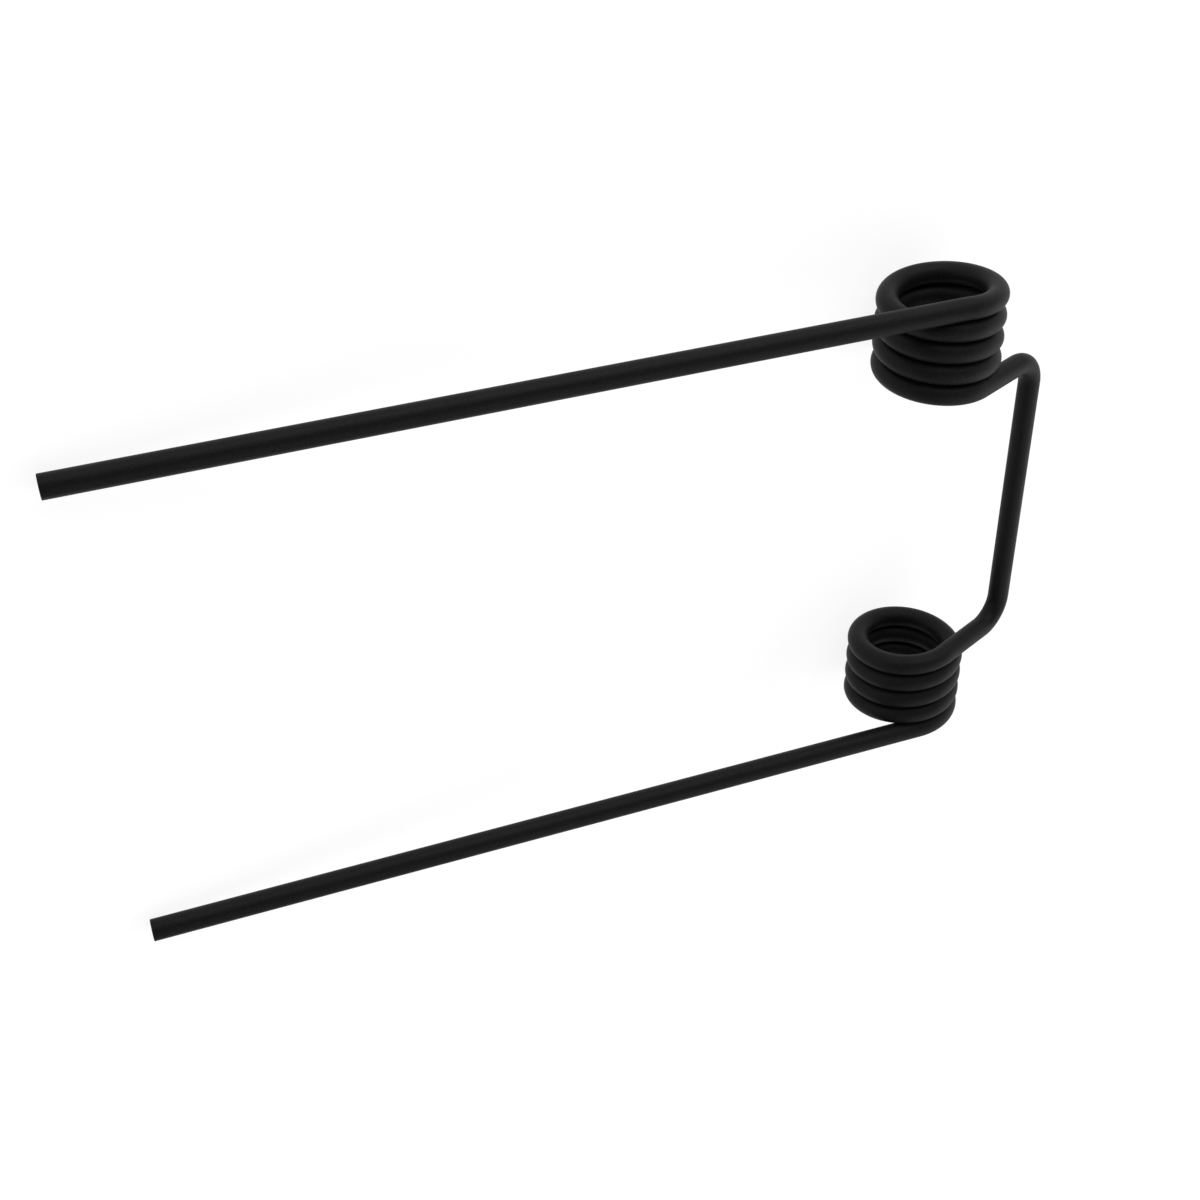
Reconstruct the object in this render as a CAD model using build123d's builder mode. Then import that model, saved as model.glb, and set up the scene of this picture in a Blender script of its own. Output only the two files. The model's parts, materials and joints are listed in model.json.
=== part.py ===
from build123d import *
import os
from math import asin, atan, atan2, ceil, cos, hypot, radians, sin

# Double torsion spring: one length of round spring wire, cold wound into two
# close coils of opposite hand on one axis. A long straight leg leaves the
# outer end of each coil. The inner ends are joined by a U-shaped bridge: an
# arm from each coil and a straight bar between them.
#
# Winding frame: Z is the coil axis, the legs run towards -X on the -Y side,
# and z = 0 is the plane that the two halves mirror in. All sizes are in mm.

# ---------------------------------------------------------------- wire
wire_diameter = 7.0

# ---------------------------------------------------------------- coils
coil_inner_diameter = 26.0  # the bore, which clears a 25 mm rod
full_turns = 4  # in each coil, besides the part turn up to the arm
turn_gap = 0.15  # air between neighbouring turns
largest_arc_angle = 45.0  # that one arc of the coil's centre line turns through
end_blend_radius = 20.0  # bend that takes the wire out of the coil's lead

# ---------------------------------------------------------------- legs
leg_spacing = 161.0  # between the two legs' centre lines
leg_reach = 268.0  # from the coil axis to the cut tip

# ---------------------------------------------------------------- bridge
bridge_angle = 25.0  # that the arms turn away from the legs' direction
bridge_reach = 30.0  # along an arm, from its coil to the bar's centre line
bridge_bend_inner_radius = 6.0

# ---------------------------------------------------------------- worked out
wire_radius = wire_diameter / 2
coil_radius = (coil_inner_diameter + wire_diameter) / 2
pitch = wire_diameter + turn_gap
coil_angle = 360 * full_turns + bridge_angle
coil_length = pitch * coil_angle / 360
bridge_bend_radius = bridge_bend_inner_radius + wire_radius
bridge_straight = bridge_reach - bridge_bend_radius

# The coil's centre line is a chain of equal flat arcs that run smoothly into
# one another. Their ends lie on the helix, and their middles within a hundredth
# of a millimetre of it. At each joint the wire climbs at lead_angle.
arc_count = ceil(coil_angle / largest_arc_angle)
arc_angle = coil_angle / arc_count
arc_rise = coil_length / arc_count
half_arc_angle = radians(arc_angle / 2)
half_chord = coil_radius * sin(half_arc_angle)  # seen along the coil axis
chord_slope = atan2(arc_rise, 2 * half_chord)
half_bend = atan(cos(chord_slope) * sin(half_arc_angle) / cos(half_arc_angle))
arc_radius = half_chord / cos(chord_slope) / sin(half_bend)
crown_radius = coil_radius * cos(half_arc_angle) + arc_radius * (1 - cos(half_bend))
lead_angle = asin(cos(half_bend) * sin(chord_slope))

# A short arc at each end of the coil turns the wire square to the coil axis
# again, over blend_run, and shifts it by blend_shift along the axis.
blend_run = end_blend_radius * sin(lead_angle)
blend_shift = end_blend_radius * (1 - cos(lead_angle))
leg_z = leg_spacing / 2
coil_outer_z = leg_z - blend_shift
coil_inner_z = coil_outer_z - coil_length
arm_z = coil_inner_z - blend_shift
bar_half_length = arm_z - bridge_bend_radius

# The arm leaves the coil along arm_direction, tangent to it at arm_root.
arm_direction = Vector(1, 0, 0).rotate(Axis.Z, bridge_angle)
arm_root = Vector(0, -coil_radius, 0).rotate(Axis.Z, bridge_angle)

# Laid down, the spring rests on the backs of both coils and on the lower edge
# of each cut tip. A line from the coil's back to that edge is level.
coil_back = coil_radius + wire_radius
leg_underside = coil_radius - wire_radius
rest_tilt = asin(coil_back / hypot(leg_reach, leg_underside)) + atan(leg_underside / leg_reach)


def coil_point(arcs, radius=coil_radius):
    """Return the point that lies a number of arcs from the coil's outer end."""
    above_start = Vector(0, -radius, coil_outer_z - arcs * arc_rise)
    return above_start.rotate(Axis.Z, arcs * arc_angle)


# ---------------------------------------------------------------- the wire
with BuildPart() as wound_wire:
    with BuildLine():
        leg = Line((-leg_reach, -coil_radius, leg_z), (-blend_run, -coil_radius, leg_z))
        TangentArc(leg @ 1, coil_point(0), tangent=leg % 1)
        for n in range(arc_count):
            arc = ThreePointArc(coil_point(n), coil_point(n + 0.5, crown_radius), coil_point(n + 1))
        arm_start = arm_root + arm_direction * blend_run + (0, 0, arm_z)
        TangentArc(arc @ 1, arm_start, tangent=arc % 1)
        arm = Line(arm_start, arm_root + arm_direction * bridge_straight + (0, 0, arm_z))
        bar_start = arm_root + arm_direction * bridge_reach + (0, 0, bar_half_length)
        TangentArc(arm @ 1, bar_start, tangent=arm % 1)
        mirror(about=Plane.XY)
        Line(bar_start, bar_start - (0, 0, 2 * bar_half_length))
    with BuildSketch(Plane(origin=leg @ 0, z_dir=leg % 0)):
        Circle(wire_radius)
    sweep()

# ---------------------------------------------------------------- the spring
# As it lies: +Z up, the coil axis along +Y, the legs towards -X and sloping
# down to the tips. The origin is on the coil axis, midway between the coils.
as_it_lies = Plane(
    origin=(0, 0, 0),
    x_dir=(cos(rest_tilt), 0, sin(rest_tilt)),
    z_dir=(0, 1, 0),
)
with BuildPart(as_it_lies) as torsion_spring:
    add(wound_wire.part)
torsion_spring.part.label = "torsion_spring"

os.makedirs("parts", exist_ok=True)
export_step(torsion_spring.part, "parts/torsion_spring.step")
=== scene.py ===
"""Looks of a double torsion spring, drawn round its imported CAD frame.

The spring is one length of round spring wire. From one cut tip it runs up a
long straight leg, round a close coil, along a U-shaped bridge, round a second
coil of the other hand and down a second leg. It is dipped in black enamel and
stoved after it is wound.

Frame: metres, +Z up. The coil axis is the Y axis, the legs run towards -X and
slope down to their tips, and the coils' backs and the tips lie on the floor.
"""

from __future__ import annotations

import json
import logging
import math
from dataclasses import dataclass
from enum import Enum

import bpy
import numpy as np
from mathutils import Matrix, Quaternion, Vector

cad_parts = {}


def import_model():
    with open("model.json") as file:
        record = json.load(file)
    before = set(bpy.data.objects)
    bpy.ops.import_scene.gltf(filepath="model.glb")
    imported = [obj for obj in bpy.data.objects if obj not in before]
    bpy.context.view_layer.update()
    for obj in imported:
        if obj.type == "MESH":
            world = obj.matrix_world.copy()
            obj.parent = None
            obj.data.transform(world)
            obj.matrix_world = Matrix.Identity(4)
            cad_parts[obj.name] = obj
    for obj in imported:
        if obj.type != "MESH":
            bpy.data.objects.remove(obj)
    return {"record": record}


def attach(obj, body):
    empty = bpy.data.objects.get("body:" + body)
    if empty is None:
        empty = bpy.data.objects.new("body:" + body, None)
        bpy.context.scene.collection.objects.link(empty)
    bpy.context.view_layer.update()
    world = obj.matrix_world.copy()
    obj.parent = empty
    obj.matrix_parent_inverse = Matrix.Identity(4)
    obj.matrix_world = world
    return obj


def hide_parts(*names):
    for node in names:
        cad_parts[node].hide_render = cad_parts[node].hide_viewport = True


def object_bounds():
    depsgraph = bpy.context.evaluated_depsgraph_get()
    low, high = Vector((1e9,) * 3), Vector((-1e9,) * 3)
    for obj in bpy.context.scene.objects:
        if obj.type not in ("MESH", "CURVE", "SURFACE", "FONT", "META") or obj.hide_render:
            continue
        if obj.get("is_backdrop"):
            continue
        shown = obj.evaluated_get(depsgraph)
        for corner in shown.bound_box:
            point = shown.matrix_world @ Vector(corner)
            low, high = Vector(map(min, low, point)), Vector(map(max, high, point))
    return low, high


LOG = logging.getLogger("torsion_spring")
MM = 0.001
NODE = "torsion_spring"
PIECE = "spring_wire"
BODY = "root"
WIRE_MAP = "wound_wire"  # vertex attribute: place on the wire before it was wound
SKIN_MAP = "OFBake"  # UV map: the wire's skin, cut into strips and laid flat
MIRROR = np.array([1.0, 1.0, -1.0])  # flips the winding frame in z = 0


# ---------------------------------------------------------------- shader tools
def linear_colour(hex_colour: str, alpha: float = 1.0) -> tuple[float, float, float, float]:
    """Turn an sRGB hex colour into the linear colour that a shader socket takes.

    Each channel c in 0..1 becomes c / 12.92 below 0.04045, and otherwise
    ((c + 0.055) / 1.055) to the power 2.4.

    Args:
        hex_colour: Colour as "#rrggbb".
        alpha: Opacity of the colour.

    Returns:
        Red, green and blue, linear, and alpha.
    """
    srgb = np.array([int(hex_colour[i : i + 2], 16) for i in (1, 3, 5)]) / 255
    linear = np.where(srgb <= 0.04045, srgb / 12.92, ((srgb + 0.055) / 1.055) ** 2.4)
    return (*map(float, linear), alpha)


def add_node(
    tree: bpy.types.NodeTree,
    kind: str,
    settings: dict[str, object] | None = None,
    inputs: dict[str | int, object] | None = None,
) -> bpy.types.Node:
    """Add one node, set it up and link it.

    Args:
        tree: Node tree that gets the node.
        kind: Blender's name of the node type.
        settings: Node properties and their values.
        inputs: Values for input sockets, by name or number. An output socket
            given as a value is linked instead.

    Returns:
        The new node.
    """
    node = tree.nodes.new(kind)
    for name, value in (settings or {}).items():
        setattr(node, name, value)
    for name, value in (inputs or {}).items():
        if isinstance(value, bpy.types.NodeSocket):
            tree.links.new(value, node.inputs[name])
        else:
            node.inputs[name].default_value = value
    return node


def empty_tree(owner: bpy.types.Material | bpy.types.World) -> bpy.types.NodeTree:
    """Give a material or world a node tree with no nodes in it, and return it."""
    owner.use_nodes = True
    owner.node_tree.nodes.clear()
    return owner.node_tree


# ---------------------------------------------------------------- finish
@dataclass(frozen=True)
class StovedEnamel:
    """Matt black dipping enamel, two coats, stoved on the wound spring.

    The resin holds carbon black and a matting agent, so highlights are low,
    soft and wide. Each dip levels out before it is baked. The film keeps a
    faint orange peel and lets traces of the wire's draw lines through, and over
    the torn half of a cut face it follows the grain of the steel.

    Attributes:
        name: Name of the material.
        dull: Colour where much of the matting agent lies at the surface.
        deep: Colour where little of it does.
        mottle: Size of the mottle that these two make, in mm. The agent's grains
            are about 0.02 mm, too fine to show, so these are as coarse as shows.
        mottle_span: Values of its pattern at which it is all deep and all dull.
        sheen: Roughness of the film where it is smoothest and most matt.
        resin_ior: Refractive index, of an alkyd or epoxy resin.
        gloss_level: Reflection that the matting agent's rough skin leaves,
            where 0.5 is that of the plain resin.
        peel: Size and depth of the orange peel, in mm.
        draw_line: Width, length and depth of a draw line, in mm. Real ones are
            about 0.05 mm wide, too fine to show, so these are as coarse as shows.
        patch: Size of the patches in which the sheen changes, in mm.
        patch_span: Values of their pattern at which the film is smoothest and
            most matt.
        tear_grain: Size and depth of the grain on a torn cut face, in mm.
        rim: Width of the smooth rim round a cut face, in mm.
    """

    name: str = "black_stoved_enamel_dipped"
    dull: str = "#1c1c1c"
    deep: str = "#131313"
    mottle: float = 0.45
    mottle_span: tuple[float, float] = (0.35, 0.65)
    sheen: tuple[float, float] = (0.47, 0.53)
    resin_ior: float = 1.5
    gloss_level: float = 0.10
    peel: tuple[float, float] = (1.0, 0.015)
    draw_line: tuple[float, float, float] = (0.35, 60.0, 0.006)
    patch: float = 9.0
    patch_span: tuple[float, float] = (0.3, 0.7)
    tear_grain: tuple[float, float] = (0.45, 0.05)
    rim: float = 0.5

    def material(self, wire_radius: float) -> bpy.types.Material:
        """Build the enamel as a node material.

        Args:
            wire_radius: Of the wire, in metres.

        Returns:
            A material that reads its patterns from the wire's own length and
            girth, so that they follow every bend without a seam.
        """
        material = bpy.data.materials.new(self.name)
        tree = empty_tree(material)
        place = add_node(tree, "ShaderNodeAttribute", {"attribute_name": WIRE_MAP})
        in_mm = add_node(
            tree,
            "ShaderNodeVectorMath",
            {"operation": "SCALE"},
            {0: place.outputs["Vector"], "Scale": 1 / MM},
        ).outputs["Vector"]

        peel_size, peel_depth = self.peel
        line_width, line_length, line_depth = self.draw_line
        grain_size, grain_depth = self.tear_grain
        peel = self._lumps(tree, in_mm, (peel_size, peel_size, peel_size), detail=2.0)
        lines = self._lumps(tree, in_mm, (line_width, line_width, line_length), detail=3.0)
        mottle = self._lumps(tree, in_mm, (self.mottle, self.mottle, self.mottle), detail=2.0)
        patches = self._lumps(tree, in_mm, (self.patch, self.patch, self.patch), detail=4.0)
        grain = self._lumps(tree, in_mm, (grain_size, grain_size, grain_size), detail=4.0)
        torn = add_node(
            tree,
            "ShaderNodeMath",
            {"operation": "MULTIPLY"},
            {0: grain, 1: self._cut_face(tree, in_mm, wire_radius / MM)},
        ).outputs[0]

        roughness = add_node(
            tree,
            "ShaderNodeMapRange",
            {},
            {
                "Value": patches,
                "From Min": self.patch_span[0],
                "From Max": self.patch_span[1],
                "To Min": self.sheen[0],
                "To Max": self.sheen[1],
            },
        )
        dullness = add_node(
            tree,
            "ShaderNodeMapRange",
            {},
            {
                "Value": mottle,
                "From Min": self.mottle_span[0],
                "From Max": self.mottle_span[1],
            },
        ).outputs["Result"]
        colour = add_node(
            tree,
            "ShaderNodeMix",
            {"data_type": "RGBA"},
            {0: dullness, 6: linear_colour(self.deep), 7: linear_colour(self.dull)},
        )
        normal = None
        for height, depth in ((lines, line_depth), (peel, peel_depth), (torn, grain_depth)):
            below = {} if normal is None else {"Normal": normal}
            normal = add_node(
                tree,
                "ShaderNodeBump",
                {},
                {"Strength": 1.0, "Distance": depth * MM, "Height": height, **below},
            ).outputs["Normal"]
        surface = add_node(
            tree,
            "ShaderNodeBsdfPrincipled",
            {},
            {
                "Base Color": colour.outputs[2],
                "Roughness": roughness.outputs["Result"],
                "IOR": self.resin_ior,
                "Specular IOR Level": self.gloss_level,
                "Normal": normal,
            },
        )
        add_node(
            tree,
            "ShaderNodeOutputMaterial",
            {},
            {"Surface": surface.outputs["BSDF"]},
        )
        return material

    @staticmethod
    def _lumps(
        tree: bpy.types.NodeTree,
        in_mm: bpy.types.NodeSocket,
        size: tuple[float, float, float],
        detail: float,
    ) -> bpy.types.NodeSocket:
        """Add a pattern of uneven lumps that have a real size.

        Args:
            tree: Node tree that gets the pattern.
            in_mm: Place on the unwound wire, in mm.
            size: Size of a lump across the wire, twice, and along it, in mm.
            detail: Number of finer layers in the lumps.

        Returns:
            The pattern's value, from 0 to 1.
        """
        place = add_node(
            tree,
            "ShaderNodeVectorMath",
            {"operation": "DIVIDE"},
            {0: in_mm, 1: size},
        )
        return add_node(
            tree,
            "ShaderNodeTexNoise",
            {},
            {"Vector": place.outputs["Vector"], "Scale": 1.0, "Detail": detail},
        ).outputs["Fac"]

    def _cut_face(
        self,
        tree: bpy.types.NodeTree,
        in_mm: bpy.types.NodeSocket,
        wire_radius: float,
    ) -> bpy.types.NodeSocket:
        """Add a mask that is 1 on the cut faces and falls to 0 over their rim.

        Args:
            tree: Node tree that gets the mask.
            in_mm: Place on the unwound wire, in mm.
            wire_radius: Of the wire, in mm.

        Returns:
            The mask. It is 1 where sqrt(x^2 + y^2), the distance from the centre
            line, is less than the wire's radius by the rim or more.
        """
        across = add_node(
            tree,
            "ShaderNodeVectorMath",
            {"operation": "MULTIPLY"},
            {0: in_mm, 1: (1.0, 1.0, 0.0)},
        )
        distance = add_node(
            tree,
            "ShaderNodeVectorMath",
            {"operation": "LENGTH"},
            {0: across.outputs["Vector"]},
        )
        return add_node(
            tree,
            "ShaderNodeMapRange",
            {"interpolation_type": "SMOOTHSTEP"},
            {
                "Value": distance.outputs["Value"],
                "From Min": wire_radius - self.rim,
                "From Max": wire_radius - self.rim / 2,
                "To Min": 1.0,
                "To Max": 0.0,
            },
        ).outputs["Result"]


# ---------------------------------------------------------------- the wire
@dataclass(frozen=True)
class WireRun:
    """A stretch of the wire's centre line, as whole arrays.

    Attributes:
        places: Points on the centre line, one row each.
        ways: Unit vectors along the wire at those points.
        sides: Unit vectors square to the wire, from which its girth is counted.
    """

    places: np.ndarray
    ways: np.ndarray
    sides: np.ndarray

    def without_end(self) -> WireRun:
        """Return the run without its last point, which the next run starts with."""
        return WireRun(self.places[:-1], self.ways[:-1], self.sides[:-1])

    def mirrored(self) -> WireRun:
        """Return the run mirrored in z = 0 and walked the other way."""
        return WireRun(
            self.places[::-1] * MIRROR,
            -self.ways[::-1] * MIRROR,
            self.sides[::-1] * MIRROR,
        )

    @staticmethod
    def joined(runs: list[WireRun]) -> WireRun:
        """Return the runs as one, in their order."""
        return WireRun(
            np.vstack([run.places for run in runs]),
            np.vstack([run.ways for run in runs]),
            np.vstack([run.sides for run in runs]),
        )


@dataclass(frozen=True)
class SpringWire:
    """The whole spring as one bent wire, in metres.

    It is worked out in the winding frame: Z is the coil axis, the legs run
    towards -X on the -Y side, and z = 0 is the plane that the halves mirror in.

    Attributes:
        radius: Of the wire with its coat.
        coil_radius: From the coil axis to the wire's centre line.
        leg_z: From the mirror plane to a leg's centre line.
        leg_reach: From the coil axis to a cut tip, along the leg.
        bridge_angle: That the arms turn away from the legs' direction, radians.
        bridge_reach: Along an arm, from its coil to the bar's centre line.
        axes: Row frame directions of the winding frame's X, Y and Z, one row each.
        full_turns: In each coil, besides the part turn up to the arm.
        turn_gap: Air between neighbouring turns.
        blend_radius: Of the bend that takes the wire out of the coil's lead.
        bend_radius: Of a bridge corner, to the wire's centre line.
        run_step: Length of a mesh quad on a straight run.
        turn_step: Angle of a mesh quad on a bend, radians.
        girth_count: Mesh quads round the wire.
    """

    radius: float
    coil_radius: float
    leg_z: float
    leg_reach: float
    bridge_angle: float
    bridge_reach: float
    axes: np.ndarray
    full_turns: int = 4
    turn_gap: float = 0.15 * MM
    blend_radius: float = 20.0 * MM
    bend_radius: float = 9.5 * MM
    run_step: float = 6.0 * MM
    turn_step: float = math.radians(4.0)
    girth_count: int = 48

    @classmethod
    def from_record(cls, record: dict) -> SpringWire:
        """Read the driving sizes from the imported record's mounts.

        A bar at (x, y) in the winding frame lies bridge_reach along the arm
        from a point of the coil, so x^2 + y^2 = coil_radius^2 + bridge_reach^2.

        Args:
            record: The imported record.

        Returns:
            The wire, with its other sizes at their defaults.
        """
        mounts = {mount["name"]: mount for mount in record["mounts"]}
        radius = mounts["bridge_bar"]["dims"]["r_mm"] * MM
        coil_radius = mounts["coil_axis"]["dims"]["r_mm"] * MM + radius
        tip = np.array(mounts["leg_a_tip"]["pos_m"])
        along_leg = np.array(mounts["leg_a_tip"]["axis"])
        coil_axis = np.array(mounts["coil_axis"]["axis"], float)
        axes = np.array([-along_leg, np.cross(coil_axis, -along_leg), coil_axis])
        bar_x, bar_y, _ = axes @ np.array(mounts["bridge_bar"]["pos_m"])
        bridge_reach = math.sqrt(bar_x**2 + bar_y**2 - coil_radius**2)
        return cls(
            radius=radius,
            coil_radius=coil_radius,
            leg_z=abs(float(tip @ coil_axis)),
            leg_reach=float(tip @ along_leg),
            bridge_angle=math.atan2(bar_y, bar_x) + math.atan2(coil_radius, bridge_reach),
            bridge_reach=bridge_reach,
            axes=axes,
        )

    @property
    def pitch(self) -> float:
        """Length of coil that one turn takes."""
        return 2 * self.radius + self.turn_gap

    @property
    def lead_angle(self) -> float:
        """Slope of the wire in the coil, in radians."""
        return math.atan2(self.pitch, 2 * math.pi * self.coil_radius)

    def centre_line(self) -> WireRun:
        """Walk the wire from one tip to the other, in the winding frame."""
        half = self._half()
        bar_start = half.places[-1]
        bar = self._straight(bar_start, bar_start * MIRROR, half.sides[-1])
        return WireRun.joined([half.without_end(), bar.without_end(), half.mirrored()])

    def _half(self) -> WireRun:
        """Walk the wire from the tip at z > 0 to the end of its bridge corner."""
        run_in = self.blend_radius * math.sin(self.lead_angle)
        shift = self.blend_radius * (1 - math.cos(self.lead_angle))
        turned = 2 * math.pi * self.full_turns + self.bridge_angle
        coil_outer = self.leg_z - shift
        coil_inner = coil_outer - self.pitch * turned / (2 * math.pi)
        down = np.array([0.0, 0.0, -1.0])
        leg_way = np.array([1.0, 0.0, 0.0])
        leg_side = np.array([0.0, -1.0, 0.0])
        arm_way = np.array([math.cos(self.bridge_angle), math.sin(self.bridge_angle), 0.0])
        arm_side = np.array([math.sin(self.bridge_angle), -math.cos(self.bridge_angle), 0.0])
        leg_root = self.coil_radius * leg_side - self.leg_z * down
        arm_root = self.coil_radius * arm_side - (coil_inner - shift) * down
        leg_end = leg_root - run_in * leg_way
        arm_start = arm_root + run_in * arm_way
        arm_end = arm_root + (self.bridge_reach - self.bend_radius) * arm_way
        lead = self.lead_angle
        runs = [
            self._straight(leg_root - self.leg_reach * leg_way, leg_end, leg_side),
            self._bend(leg_end, leg_way, down, leg_side, self.blend_radius, (0, lead)),
            self._coil(coil_outer, turned),
            self._bend(arm_start, arm_way, -down, arm_side, self.blend_radius, (-lead, 0)),
            self._straight(arm_start, arm_end, arm_side),
            self._bend(arm_end, arm_way, down, arm_side, self.bend_radius, (0, math.pi / 2)),
        ]
        return WireRun.joined([*(run.without_end() for run in runs[:-1]), runs[-1]])

    def _straight(self, start: np.ndarray, end: np.ndarray, side: np.ndarray) -> WireRun:
        """Walk straight: place = start + t (end - start), with t from 0 to 1."""
        length = float(np.linalg.norm(end - start))
        t = np.linspace(0, 1, max(2, round(length / self.run_step) + 1))[:, None]
        way = (end - start) / length
        return WireRun(start + t * (end - start), way + 0 * t, side + 0 * t)

    def _bend(
        self,
        origin: np.ndarray,
        way: np.ndarray,
        inward: np.ndarray,
        side: np.ndarray,
        radius: float,
        turn: tuple[float, float],
    ) -> WireRun:
        """Walk an arc: place = origin + radius (sin a way + (1 - cos a) inward).

        Args:
            origin: Point at a = 0.
            way: Direction of the wire there.
            inward: Direction from there to the arc's centre.
            side: Direction square to the arc's plane.
            radius: Of the arc.
            turn: First and last value of a, in radians.

        Returns:
            The arc, with cos a way + sin a inward as its direction.
        """
        count = max(4, math.ceil((turn[1] - turn[0]) / self.turn_step) + 1)
        a = np.linspace(*turn, count)[:, None]
        places = origin + radius * (np.sin(a) * way + (1 - np.cos(a)) * inward)
        return WireRun(places, np.cos(a) * way + np.sin(a) * inward, side + 0 * a)

    def _coil(self, outer_z: float, turned: float) -> WireRun:
        """Walk the coil: place = R radial(a) + (z - pitch a / 2 pi) axis.

        Args:
            outer_z: z where the coil starts, at its outer end.
            turned: Angle that it turns through, in radians.

        Returns:
            The coil. It starts under the axis, at -Y, and winds towards +X.
        """
        a = np.linspace(0, turned, math.ceil(turned / self.turn_step) + 1)[:, None]
        radial = np.hstack([np.sin(a), -np.cos(a), 0 * a])
        round_way = np.hstack([np.cos(a), np.sin(a), 0 * a])
        axis = np.array([0.0, 0.0, 1.0])
        places = self.coil_radius * radial + (outer_z - self.pitch * a / (2 * math.pi)) * axis
        lead = self.lead_angle
        return WireRun(places, math.cos(lead) * round_way - math.sin(lead) * axis, radial)


@dataclass(frozen=True)
class CutTip:
    """A wire end as the shear leaves it, under the enamel.

    The blade slides a part of the way through and leaves a smooth band. The
    rest tears off and lies a little deeper.

    Attributes:
        edge_break: Radius that the enamel gives the cut edge.
        edge_count: Mesh quads round that radius.
        face_count: Mesh rings on the cut face.
        sheared: Share of the face's width that the blade slid through.
        tear_run: Share of the width over which the face falls to the torn part.
        tear_depth: Depth of the torn part.
    """

    edge_break: float = 0.22 * MM
    edge_count: int = 5
    face_count: int = 12
    sheared: float = 0.4
    tear_run: float = 0.1
    tear_depth: float = 0.12 * MM

    def rings(self, radius: float) -> tuple[np.ndarray, np.ndarray, np.ndarray]:
        """Work out the rings from the wire's side to the middle of the cut.

        Over the edge, with b the break and q from 0 to 90 degrees, a ring lies
        b (1 - sin q) short of the cut and has radius r - b (1 - cos q). On the
        face it lies in the cut, and its radius falls in equal steps.

        Args:
            radius: Of the wire.

        Returns:
            How far each ring lies short of the cut, its radius, and its distance
            along the skin from the middle of the cut.
        """
        q = np.linspace(0, math.pi / 2, self.edge_count + 1)
        flat = radius - self.edge_break
        face = np.linspace(flat, 0, self.face_count + 2)[1:-1]
        short = np.concatenate([self.edge_break * (1 - np.sin(q)), 0 * face])
        radii = np.concatenate([flat + self.edge_break * np.cos(q), face])
        skin = np.concatenate([flat + self.edge_break * (math.pi / 2 - q), face])
        return short, radii, skin

    def relief(self, radius: float, distance: np.ndarray, t: np.ndarray) -> np.ndarray:
        """Work out how deep the cut face lies.

        With u = distance / (r - b) from 0 to 1 and w = (1 - u cos t) / 2 the
        place across the face, the depth is tear_depth (1 - u^6) times a smooth
        step of w over tear_run past the sheared band. It is 0 on the edge and
        beyond.

        Args:
            radius: Of the wire.
            distance: Of a point from the centre line.
            t: Angle of the point round the wire, radians.

        Returns:
            The depth of each point.
        """
        u = np.minimum(distance / (radius - self.edge_break), 1)
        w = (1 - u * np.cos(t)) / 2
        step = np.clip((w - self.sheared) / self.tear_run, 0, 1)
        return self.tear_depth * (1 - u**6) * step**2 * (3 - 2 * step)


@dataclass(frozen=True)
class SkinSheet:
    """The wire's skin, laid flat on the square map that finishes are baked to.

    The skin is slit along the line that its girth is counted from and cut into
    strips of nearly one length, which stand side by side. The two cut faces lie
    above them as discs.

    Attributes:
        strips: Number of strips.
        gap: Between neighbours on the map, in metres of skin.
    """

    strips: int = 8
    gap: float = 2.0 * MM

    def lay_out(
        self,
        lengths: np.ndarray,
        skin: np.ndarray,
        girth: float,
        columns: int,
    ) -> tuple[np.ndarray, np.ndarray]:
        """Find the place on the map of every corner of every face.

        A corner at distance s along the wire and share g of the girth lies at
        x = x0 + g girth and y = gap + s - s0, where the strip has its left side
        at x0 and starts at s0. On a cut face, a corner at distance p from the
        middle, along the skin, lies at the disc's middle + p (cos t, sin t).

        Args:
            lengths: Distance of each ring along the wire.
            skin: Distance along the skin of a tip's rings from the middle of
                its cut face, from the side inwards.
            girth: Of the wire.
            columns: Number of corners round a ring.

        Returns:
            The corners of the quads, and those of the triangles round the poles,
            as shares of the map's side.
        """
        rows = len(lengths)
        tip = len(skin) - 1
        reach = skin[0]
        first, last = lengths[tip], lengths[rows - 1 - tip]
        middles = (lengths[1:] + lengths[:-1]) / 2
        strip = ((middles - first) / (last - first) * self.strips).astype(int)
        strip = np.clip(strip, 0, self.strips - 1)
        starts = np.array([lengths[max(tip, np.argmax(strip == n))] for n in range(self.strips)])
        tallest = np.max(lengths[1:] - starts[strip])
        side = max(
            self.strips * (girth + self.gap) + self.gap,
            tallest + 2 * reach + 3 * self.gap,
        )

        i = np.arange(rows - 1)[:, None, None] + np.array([0, 0, 1, 1])
        j = np.arange(columns)[None, :, None] + np.array([0, 1, 1, 0])
        x = self.gap + strip[:, None, None] * (girth + self.gap) + girth * j / columns
        y = self.gap + lengths[i] - starts[strip][:, None, None]
        quads = np.stack(np.broadcast_arrays(x, y), axis=-1)

        angle = 2 * math.pi * j / columns
        around = np.stack([np.cos(angle), np.sin(angle)], axis=-1)
        middle_y = side - self.gap - reach
        middles_xy = np.array([[self.gap + reach, middle_y], [2 * self.gap + 3 * reach, middle_y]])
        inward = skin[::-1]
        quads[:tip] = middles_xy[0] + inward[i[:tip]][..., None] * around
        outward = rows - 1 - i[-tip:]
        quads[-tip:] = middles_xy[1] + inward[outward][..., None] * around

        turn = 2 * math.pi * np.arange(columns + 1) / columns
        ring = inward[0] * np.stack([np.cos(turn), np.sin(turn)], axis=-1)
        pole = 0 * ring[1:]
        start = np.stack([ring[1:], ring[:-1], pole], axis=1) + middles_xy[0]
        end = np.stack([ring[:-1], ring[1:], pole], axis=1) + middles_xy[1]
        return quads / side, np.concatenate([start, end]) / side


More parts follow.
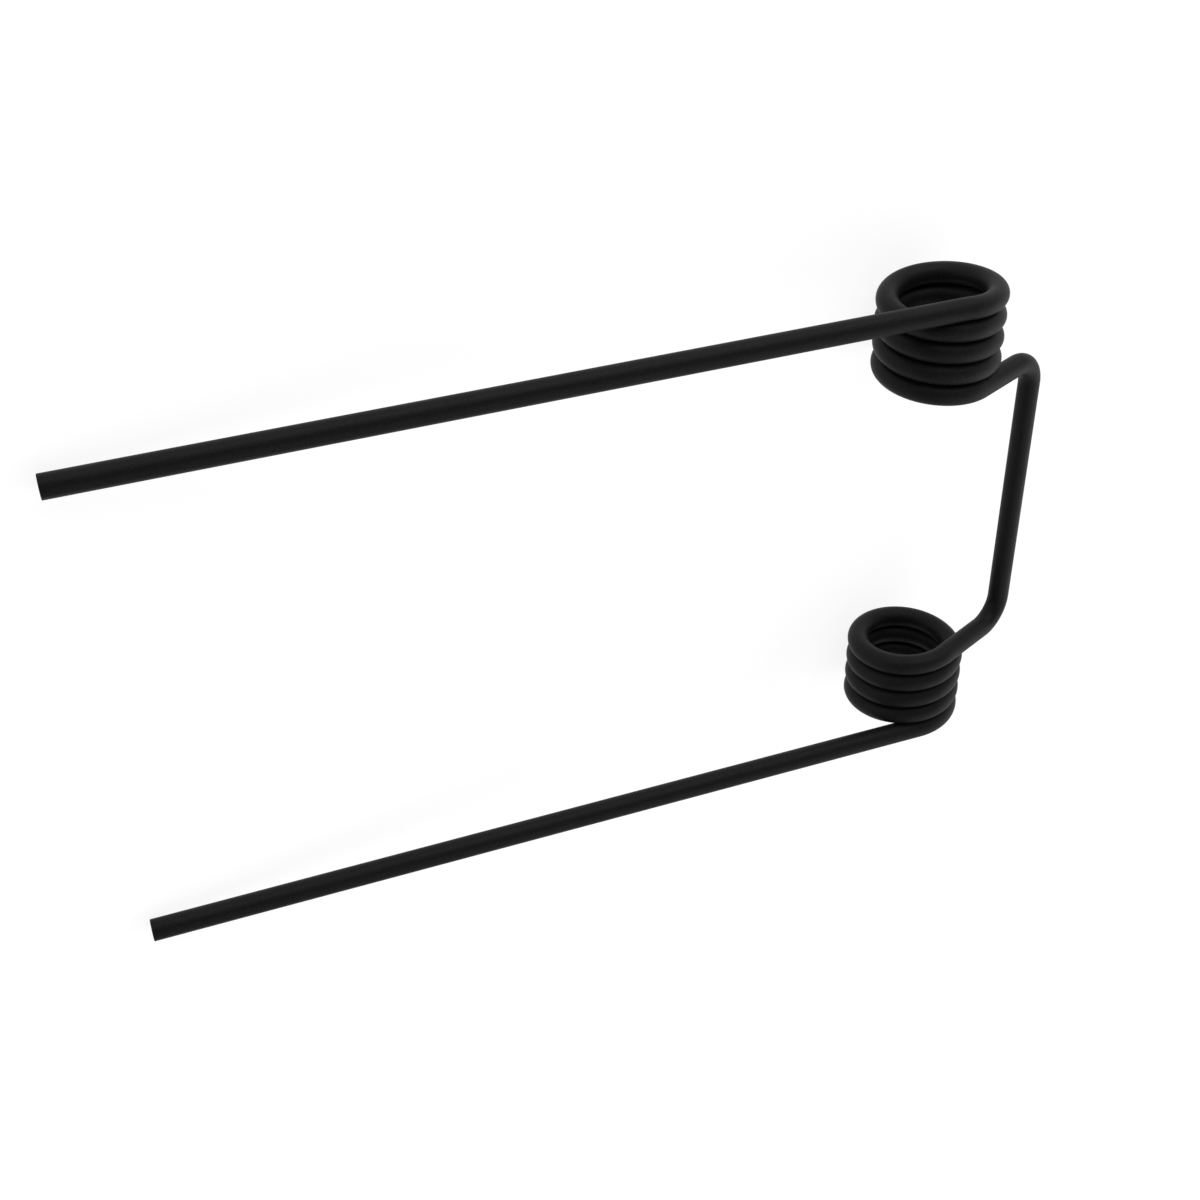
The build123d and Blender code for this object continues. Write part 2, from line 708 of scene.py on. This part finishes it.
@dataclass(frozen=True)
class WireMesh:
    """Skins a centre line with round wire and closes its ends.

    Attributes:
        wire: The wire.
        tip: Its cut ends.
        sheet: Its skin, laid flat.
    """

    wire: SpringWire
    tip: CutTip
    sheet: SkinSheet

    def build(self, name: str) -> bpy.types.Object:
        """Make the skin as an object that sits at the origin.

        Args:
            name: Name of the object and its mesh.

        Returns:
            The new object, linked to the scene.
        """
        run, radii, lengths = self._stations()
        columns = self.wire.girth_count
        t = np.linspace(0, 2 * math.pi, columns, endpoint=False)
        mesh = bpy.data.meshes.new(name)
        mesh.from_pydata(self._wound(run, radii, t).tolist(), [], self._faces(len(radii), columns))
        mesh.polygons.foreach_set("use_smooth", np.ones(len(mesh.polygons), bool))
        attribute = mesh.attributes.new(WIRE_MAP, "FLOAT_VECTOR", "POINT")
        attribute.data.foreach_set("vector", self._unwound(radii, lengths, t).ravel())
        _, _, tip_skin = self.tip.rings(self.wire.radius)
        corners = self.sheet.lay_out(lengths, tip_skin, 2 * math.pi * self.wire.radius, columns)
        layer = mesh.uv_layers.new(name=SKIN_MAP)
        layer.data.foreach_set("uv", np.concatenate([part.ravel() for part in corners]))
        mesh.update()
        piece = bpy.data.objects.new(name, mesh)
        bpy.context.scene.collection.objects.link(piece)
        return piece

    def _wound(self, run: WireRun, radii: np.ndarray, t: np.ndarray) -> np.ndarray:
        """Work out the vertices of the wound wire, in the row frame.

        Vertex (i, j) is place_i + radius_i (cos t_j side_i + sin t_j (way_i x
        side_i)). A single vertex closes the rings at each end. The torn part of
        a cut face is moved into the wire.

        Args:
            run: Centre line, with a point for each ring.
            radii: Radius of each ring.
            t: Angles round the wire, radians.

        Returns:
            The rings' vertices in their order, and then the two poles.
        """
        across = np.cross(run.ways, run.sides)
        outward = (
            np.cos(t)[None, :, None] * run.sides[:, None, :]
            + np.sin(t)[None, :, None] * across[:, None, :]
        )
        radius = self.wire.radius
        depth = self.tip.relief(radius, radii[:, None], t[None, :])
        pole_depth = self.tip.relief(radius, np.zeros(2), np.zeros(2))
        inward = np.where(np.arange(len(radii)) < len(radii) / 2, 1, -1)[:, None, None]
        skin = run.places[:, None, :] + radii[:, None, None] * outward
        skin = skin + inward * depth[:, :, None] * run.ways[:, None, :]
        poles = run.places[[0, -1]] + [[1], [-1]] * pole_depth[:, None] * run.ways[[0, -1]]
        return np.vstack([skin.reshape(-1, 3), poles]) @ self.wire.axes

    @staticmethod
    def _unwound(radii: np.ndarray, lengths: np.ndarray, t: np.ndarray) -> np.ndarray:
        """Work out where each vertex lay on the straight wire.

        Vertex (i, j) is (radius_i cos t_j, radius_i sin t_j, length_i).

        Args:
            radii: Radius of each ring.
            lengths: Distance of each ring along the wire.
            t: Angles round the wire, radians.

        Returns:
            The places, in the order of the vertices.
        """
        rings = np.dstack(
            [
                radii[:, None] * np.cos(t)[None, :],
                radii[:, None] * np.sin(t)[None, :],
                lengths[:, None] + 0 * t[None, :],
            ]
        )
        poles = [[0, 0, lengths[0]], [0, 0, lengths[-1]]]
        return np.vstack([rings.reshape(-1, 3), poles])

    def _stations(self) -> tuple[WireRun, np.ndarray, np.ndarray]:
        """Put the tips' rings on the centre line.

        Returns:
            The centre line with a point for each ring, the rings' radii, and
            their distances along the wire from its first tip.
        """
        line = self.wire.centre_line()
        steps = np.linalg.norm(np.diff(line.places, axis=0), axis=1)
        lengths = np.concatenate([[0], np.cumsum(steps)])
        short, tip_radii, _ = self.tip.rings(self.wire.radius)
        first = WireRun(
            line.places[0] + short[::-1, None] * line.ways[0],
            line.ways[0] + 0 * short[:, None],
            line.sides[0] + 0 * short[:, None],
        )
        last = WireRun(
            line.places[-1] - short[:, None] * line.ways[-1],
            line.ways[-1] + 0 * short[:, None],
            line.sides[-1] + 0 * short[:, None],
        )
        inner = WireRun(line.places[1:-1], line.ways[1:-1], line.sides[1:-1])
        radii = np.concatenate(
            [tip_radii[::-1], np.full(len(inner.places), self.wire.radius), tip_radii]
        )
        lengths = np.concatenate([short[::-1], lengths[1:-1], lengths[-1] - short])
        return WireRun.joined([first, inner, last]), radii, lengths

    @staticmethod
    def _faces(rows: int, columns: int) -> list[list[int]]:
        """List the quads of the grid and the triangles round its two poles."""
        i, j = np.meshgrid(np.arange(rows - 1), np.arange(columns), indexing="ij")
        ahead = (j + 1) % columns
        corners = [
            i * columns + j,
            i * columns + ahead,
            (i + 1) * columns + ahead,
            (i + 1) * columns + j,
        ]
        quads = np.stack(corners, axis=-1).reshape(-1, 4)
        ring = np.arange(columns)
        after = (ring + 1) % columns
        first_pole, last_pole = rows * columns, rows * columns + 1
        start = np.stack([after, ring, 0 * ring + first_pole], axis=-1)
        end_row = (rows - 1) * columns
        end = np.stack([end_row + ring, end_row + after, 0 * ring + last_pole], axis=-1)
        return [*quads.tolist(), *start.tolist(), *end.tolist()]


@dataclass(frozen=True)
class TorsionSpring:
    """The spring: one wire, dipped after winding.

    Attributes:
        record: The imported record, which holds its driving sizes.
        tip: Shape of its cut ends.
        sheet: Layout of its skin on the baking map.
        enamel: Its finish.
    """

    record: dict
    tip: CutTip = CutTip()
    sheet: SkinSheet = SkinSheet()
    enamel: StovedEnamel = StovedEnamel()

    def build(self) -> list[bpy.types.Object]:
        """Make the wire, dress it, put it in the CAD node's place and return it."""
        wire = SpringWire.from_record(self.record)
        piece = WireMesh(wire, self.tip, self.sheet).build(PIECE)
        piece.data.materials.append(self.enamel.material(wire.radius))
        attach(piece, BODY)
        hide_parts(NODE)
        return [piece]


# ---------------------------------------------------------------- the studio
class LampUse(Enum):
    """What a lamp is for."""

    TOP = "top"
    FRONT = "front"
    RIGHT = "right"
    BACK = "back"


@dataclass(frozen=True)
class SoftBox:
    """A square lamp with a soft cover.

    Attributes:
        use: What it is for, which names it.
        azimuth: Of the lamp as the spring sees it, from +X towards +Y, degrees.
        height: Of the lamp above the floor as an angle, degrees.
        brightness: Of the cover, where 1 is white.
        size: Of the cover, in metres.
        distance: From the spring, in metres.
    """

    use: LampUse
    azimuth: float
    height: float
    brightness: float
    size: float = 1.0
    distance: float = 1.3

    def build(self, aim: Vector) -> bpy.types.Object:
        """Hang the lamp so that it faces a point.

        A cover that sends out radiance L over an area A has power pi A L.

        Args:
            aim: The point.

        Returns:
            The lamp.
        """
        lamp = bpy.data.lights.new(f"lamp_{self.use.value}", "AREA")
        lamp.shape = "SQUARE"
        lamp.size = self.size
        lamp.energy = math.pi * self.size**2 * self.brightness
        holder = bpy.data.objects.new(lamp.name, lamp)
        azimuth, height = math.radians(self.azimuth), math.radians(self.height)
        level = math.cos(height)
        back = Vector((math.cos(azimuth) * level, math.sin(azimuth) * level, math.sin(height)))
        holder.location = aim + back * self.distance
        holder.rotation_mode = "QUATERNION"
        holder.rotation_quaternion = (-back).to_track_quat("-Z", "Y")
        bpy.context.scene.collection.objects.link(holder)
        return holder


@dataclass(frozen=True)
class Camera:
    """The camera that takes the main picture.

    Attributes:
        place: Of the lens, in mm.
        aim: Point in the middle of the picture, in mm.
        roll: Turn about the line of sight, clockwise as the camera sees it, degrees.
        lens: Focal length, in mm.
        sensor: Width of the sensor, in mm.
        clip: Nearest and farthest distance that it shows, in metres.
    """

    place: tuple[float, float, float] = (-300.537, 299.859, 369.427)
    aim: tuple[float, float, float] = (-117.502, 2.113, -2.602)
    roll: float = -138.364
    lens: float = 49.931
    sensor: float = 36.0
    clip: tuple[float, float] = (0.01, 100.0)

    def build(self) -> list[bpy.types.Object]:
        """Set the camera up, make it the scene's and return it."""
        data = bpy.data.cameras.new("camera")
        data.lens = self.lens
        data.sensor_width = self.sensor
        data.clip_start, data.clip_end = self.clip
        camera = bpy.data.objects.new("camera", data)
        sight = Vector(self.aim) - Vector(self.place)
        upright = sight.to_track_quat("-Z", "Y")
        camera.location = Vector(self.place) * MM
        camera.rotation_mode = "QUATERNION"
        camera.rotation_quaternion = upright @ Quaternion((0, 0, 1), -math.radians(self.roll))
        bpy.context.scene.collection.objects.link(camera)
        bpy.context.scene.camera = camera
        return [camera]


@dataclass(frozen=True)
class Studio:
    """A pale floor in a room with white walls, a dark ceiling and soft lamps.

    Attributes:
        floor_z: Height of the floor, in metres.
        floor_half: Half the floor's side, in metres.
        floor_colour: Of the floor where it only lights the spring.
        floor_glow: Brightness that the floor is seen with in full shade, near
            the spring and far from it, where it runs into the white walls.
        glow_reach: Distances from the frame's origin between which the glow
            changes, in metres.
        floor_shine: Share of the lamps' light that is added to it.
        wall_top: Sine of the height up to which the walls are white, so that a
            level camera sees nothing else behind the spring.
        ceiling_start: Sine of the height at which the dark ceiling starts.
        ceiling: Brightness of the ceiling, where 1 is white.
        lamp_aim: Point that the lamps face, in metres.
        lamps: The lamps.
    """

    floor_z: float
    floor_half: float = 4.0
    floor_colour: str = "#e6e6e6"
    floor_glow: tuple[float, float] = (0.88, 1.0)
    glow_reach: tuple[float, float] = (0.7, 1.8)
    floor_shine: float = 0.22
    wall_top: float = 0.34
    ceiling_start: float = 0.42
    ceiling: float = 0.0
    lamp_aim: tuple[float, float, float] = (-0.08, 0.0, 0.0)
    lamps: tuple[SoftBox, ...] = (
        SoftBox(LampUse.TOP, 270, 65, 1.1, size=1.4, distance=1.4),
        SoftBox(LampUse.FRONT, 80, 20, 2.15),
        SoftBox(LampUse.RIGHT, 350, 30, 1.5),
        SoftBox(LampUse.BACK, 315, 35, 0.85),
    )

    def build(self) -> list[bpy.types.Object]:
        """Light the room, and return the floor and the lamps that it is built of."""
        self._room()
        return [self._floor(), *(lamp.build(Vector(self.lamp_aim)) for lamp in self.lamps)]

    def _floor(self) -> bpy.types.Object:
        """Lay the floor.

        Where it is seen, directly or in gloss or glass, it is white with the
        spring's shadow. To other rays it is a plain pale floor.

        Returns:
            The floor.
        """
        half, z = self.floor_half, self.floor_z
        mesh = bpy.data.meshes.new("floor")
        corners = [(-half, -half, z), (half, -half, z), (half, half, z), (-half, half, z)]
        mesh.from_pydata(corners, [], [(0, 1, 2, 3)])
        floor = bpy.data.objects.new("floor", mesh)
        bpy.context.scene.collection.objects.link(floor)
        floor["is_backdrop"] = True

        material = bpy.data.materials.new("pale_floor")
        tree = empty_tree(material)
        path = add_node(tree, "ShaderNodeLightPath")
        seen = path.outputs["Is Camera Ray"]
        for ray in ("Is Glossy Ray", "Is Transmission Ray"):
            seen = add_node(
                tree,
                "ShaderNodeMath",
                {"operation": "MAXIMUM"},
                {0: seen, 1: path.outputs[ray]},
            ).outputs[0]
        shine = (self.floor_shine, self.floor_shine, self.floor_shine, 1.0)
        lit = add_node(tree, "ShaderNodeBsdfDiffuse", {}, {"Color": shine})
        place = add_node(tree, "ShaderNodeTexCoord").outputs["Object"]
        distance = add_node(tree, "ShaderNodeVectorMath", {"operation": "LENGTH"}, {0: place})
        strength = add_node(
            tree,
            "ShaderNodeMapRange",
            {"interpolation_type": "SMOOTHSTEP"},
            {
                "Value": distance.outputs["Value"],
                "From Min": self.glow_reach[0],
                "From Max": self.glow_reach[1],
                "To Min": self.floor_glow[0],
                "To Max": self.floor_glow[1],
            },
        )
        glow = add_node(
            tree,
            "ShaderNodeEmission",
            {},
            {"Strength": strength.outputs["Result"]},
        )
        white = add_node(tree, "ShaderNodeAddShader", {}, {0: lit.outputs[0], 1: glow.outputs[0]})
        pale = add_node(
            tree,
            "ShaderNodeBsdfDiffuse",
            {},
            {"Color": linear_colour(self.floor_colour)},
        )
        surface = add_node(
            tree,
            "ShaderNodeMixShader",
            {},
            {0: seen, 1: pale.outputs[0], 2: white.outputs[0]},
        )
        add_node(tree, "ShaderNodeOutputMaterial", {}, {"Surface": surface.outputs[0]})
        mesh.materials.append(material)
        return floor

    def _room(self) -> None:
        """Light the room: white walls, and a dark ceiling above a soft change."""
        world = bpy.data.worlds.new("studio")
        bpy.context.scene.world = world
        tree = empty_tree(world)
        way = add_node(tree, "ShaderNodeTexCoord")
        height = add_node(tree, "ShaderNodeSeparateXYZ", {}, {0: way.outputs["Generated"]})
        strength = add_node(
            tree,
            "ShaderNodeMapRange",
            {"interpolation_type": "SMOOTHSTEP"},
            {
                "Value": height.outputs["Z"],
                "From Min": self.wall_top,
                "From Max": self.ceiling_start,
                "To Min": 1.0,
                "To Max": self.ceiling,
            },
        )
        background = add_node(
            tree,
            "ShaderNodeBackground",
            {},
            {"Color": linear_colour("#ffffff"), "Strength": strength.outputs["Result"]},
        )
        add_node(tree, "ShaderNodeOutputWorld", {}, {"Surface": background.outputs[0]})


def report(piece: bpy.types.Object) -> None:
    """Log a piece's name and kind, and its number of faces if it is a mesh."""
    faces = f", {len(piece.data.polygons)} faces" if piece.type == "MESH" else ""
    LOG.info("%s: %s%s", piece.name, piece.type.lower(), faces)


def main() -> None:
    """Load the frame, build the spring, its studio and the camera, and log each piece."""
    logging.basicConfig(level=logging.INFO, format="%(message)s")
    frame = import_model()
    cad_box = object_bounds()
    spring = TorsionSpring(frame["record"])
    studio = Studio(floor_z=float(cad_box[0][2]))
    for piece in (*spring.build(), *studio.build(), *Camera().build()):
        report(piece)
    bpy.context.scene.view_settings.view_transform = "Standard"


if __name__ == "__main__":
    main()
